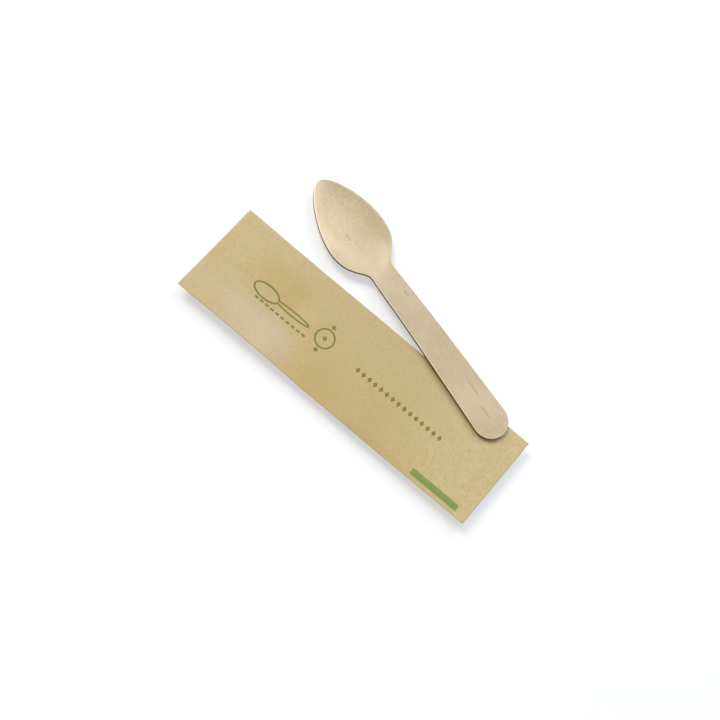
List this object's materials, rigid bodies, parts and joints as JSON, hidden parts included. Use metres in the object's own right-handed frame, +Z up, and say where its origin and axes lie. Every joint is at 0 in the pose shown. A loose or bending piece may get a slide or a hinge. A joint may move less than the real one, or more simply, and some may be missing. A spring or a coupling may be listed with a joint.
{
  "type": "wooden teaspoon with paper sachet",
  "caption": "Flat sealed kraft paper sachet that holds a wooden teaspoon, with a loose wooden teaspoon whose handle lies across its long edge.",
  "frame": {"origin": "middle of the object's box, on the table that it lies on", "axes": "+X along the sachet, towards the end that the loose teaspoon's handle points to; +Y across the sachet, towards the loose teaspoon's bowl; +Z up"},
  "size_m": [0.1276, 0.0678, 0.0067],
  "materials": {
    "kraft_paper": "smooth machine-glazed kraft paper with a faint fibre speckle, a slight sheen and flat green print",
    "birch_veneer": "bare hot-pressed birch veneer with fine lengthwise grain and darker die-cut edges"
  },
  "bodies": {
    "root": {"paper_sachet": "kraft_paper", "wooden_teaspoon": "birch_veneer"}
  },
  "joints": []
}
